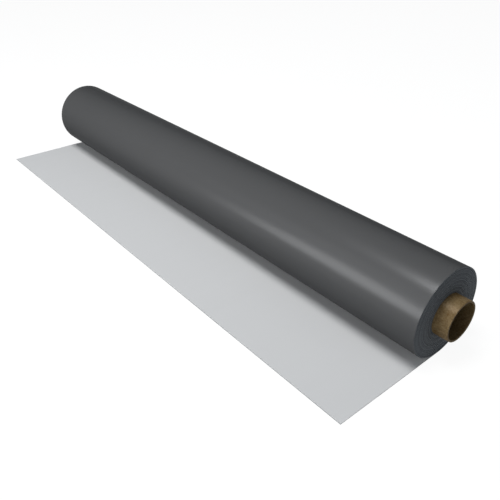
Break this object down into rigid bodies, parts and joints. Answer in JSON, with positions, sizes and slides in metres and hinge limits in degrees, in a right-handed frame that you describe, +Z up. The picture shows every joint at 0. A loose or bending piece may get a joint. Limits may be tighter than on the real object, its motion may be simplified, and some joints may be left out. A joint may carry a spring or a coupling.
{
  "type": "roll of roofing membrane",
  "caption": "Roll of flexible roofing sheet wound on a cardboard core tube, lying on its side with its free end laid out flat.",
  "frame": {"origin": "on the axis of the core tube, half way along it", "axes": "+X along the core tube, +Z up, and the free end of the sheet lies towards -Y"},
  "size_m": [1.567, 0.3836, 0.1994],
  "materials": {
    "membrane": "satin",
    "core_tube": "matte"
  },
  "bodies": {
    "root": {"membrane": "membrane", "core_tube": "core_tube"}
  },
  "joints": []
}
